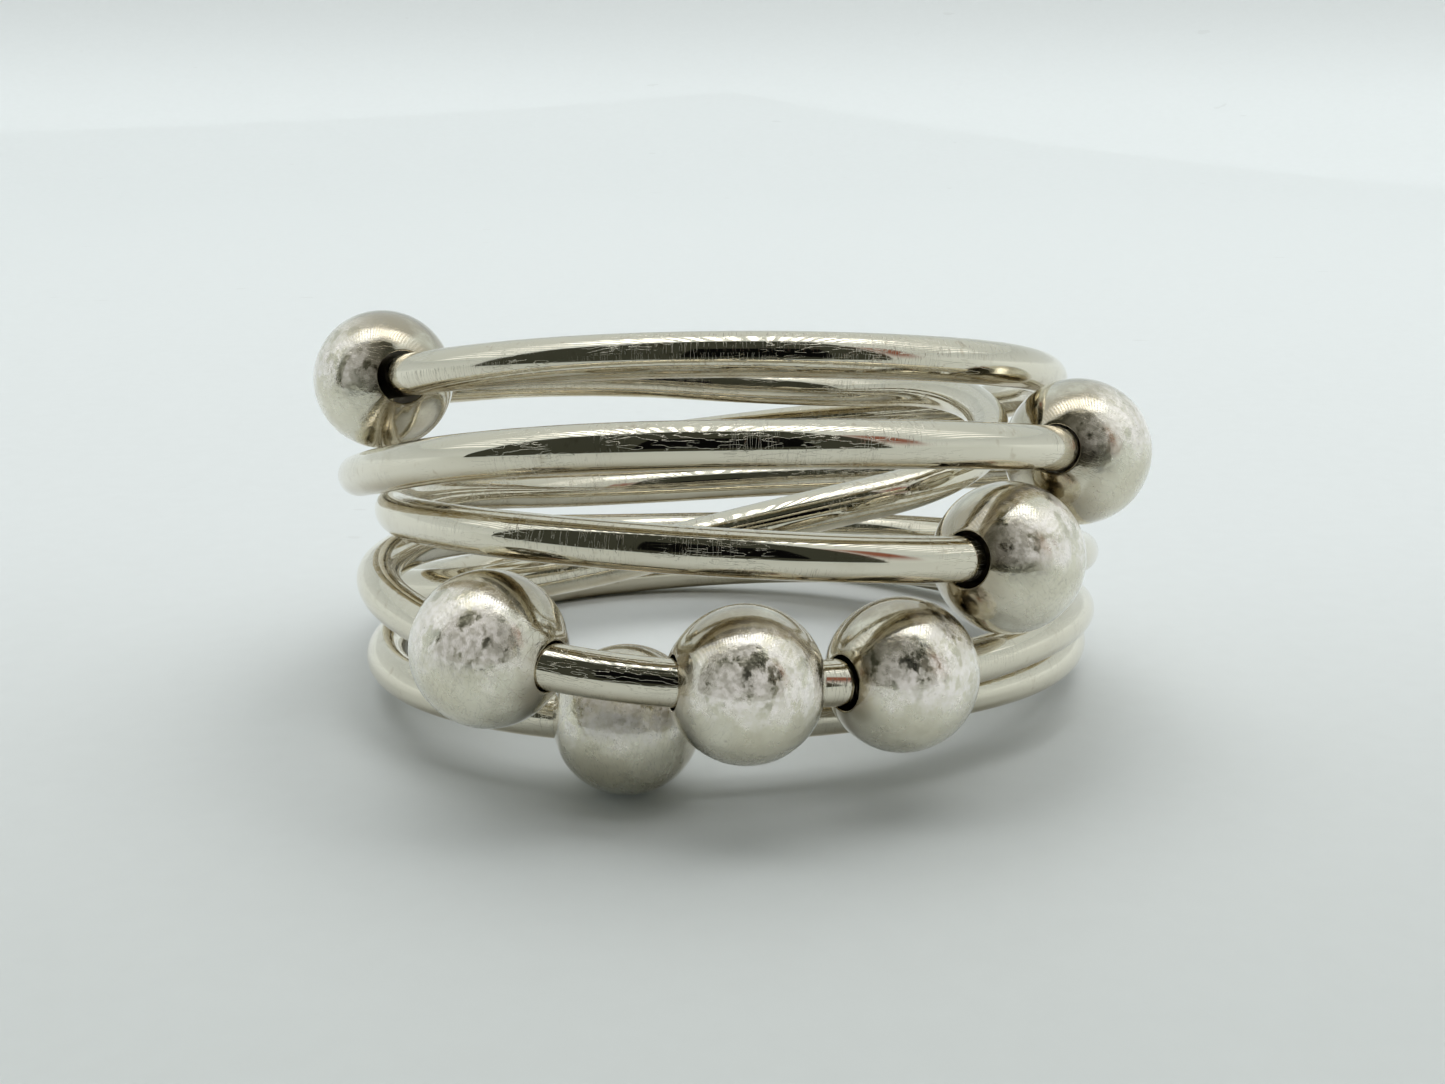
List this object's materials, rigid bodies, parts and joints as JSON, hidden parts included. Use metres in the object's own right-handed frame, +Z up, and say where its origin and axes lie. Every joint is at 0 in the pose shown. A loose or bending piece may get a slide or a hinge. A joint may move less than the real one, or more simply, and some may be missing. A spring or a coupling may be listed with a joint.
{
  "type": "beaded coil ring",
  "caption": "Coiled wire finger ring with loose balls that slide along the wire, standing with its turns fanned open at the front.",
  "frame": {"origin": "middle of the ring's outline on the surface it stands on", "axes": "+X right, +Y to the back where the turns close up, +Z up through the finger hole"},
  "size_m": [0.0234, 0.0284, 0.0122],
  "materials": {
    "wire": "polished silver with fine scratches",
    "ball": "polished silver, worn and lightly tarnished"
  },
  "bodies": {
    "wire": {"wire": "wire", "solder": "wire"},
    "ball_1": {"ball_1": "ball"},
    "ball_2": {"ball_2": "ball"},
    "ball_3": {"ball_3": "ball"},
    "ball_4": {"ball_4": "ball"},
    "ball_5": {"ball_5": "ball"},
    "ball_6": {"ball_6": "ball"},
    "ball_7": {"ball_7": "ball"}
  },
  "joints": [
    {"name": "ball_1_slide", "type": "hinge", "parent": "wire", "child": "ball_1", "pos_m": [-0.00031, 0.00247, 0.00965], "axis": [-0.0713, 0.1978, 0.9776], "range_deg": [-20, 38]},
    {"name": "ball_2_slide", "type": "hinge", "parent": "wire", "child": "ball_2", "pos_m": [-0.00153, -0.0008, 0.00684], "axis": [-0.0287, 0.2599, 0.9652], "range_deg": [0, 18]},
    {"name": "ball_3_spin", "type": "hinge", "parent": "wire", "child": "ball_3", "pos_m": [0.00751, -0.00891, 0.00636], "axis": [0.6914, 0.7038, -0.1633], "continuous": true},
    {"name": "ball_4_slide", "type": "hinge", "parent": "wire", "child": "ball_4", "pos_m": [-0.00179, -0.00514, 0.00427], "axis": [0.1026, -0.0011, 0.9947], "range_deg": [-10, 18]},
    {"name": "ball_5_slide", "type": "hinge", "parent": "wire", "child": "ball_5", "pos_m": [-0.00132, -0.00077, 0.00122], "axis": [-0.0042, 0.0925, 0.9957], "range_deg": [-8, 7]},
    {"name": "ball_6_slide", "type": "hinge", "parent": "wire", "child": "ball_6", "pos_m": [-0.00303, 0.00217, 0.00578], "axis": [0.119, -0.0903, 0.9888], "range_deg": [-3, 1]},
    {"name": "ball_7_spin", "type": "hinge", "parent": "wire", "child": "ball_7", "pos_m": [0.00464, -0.01048, 0.0037], "axis": [0.8495, 0.5247, -0.0544], "continuous": true}
  ]
}
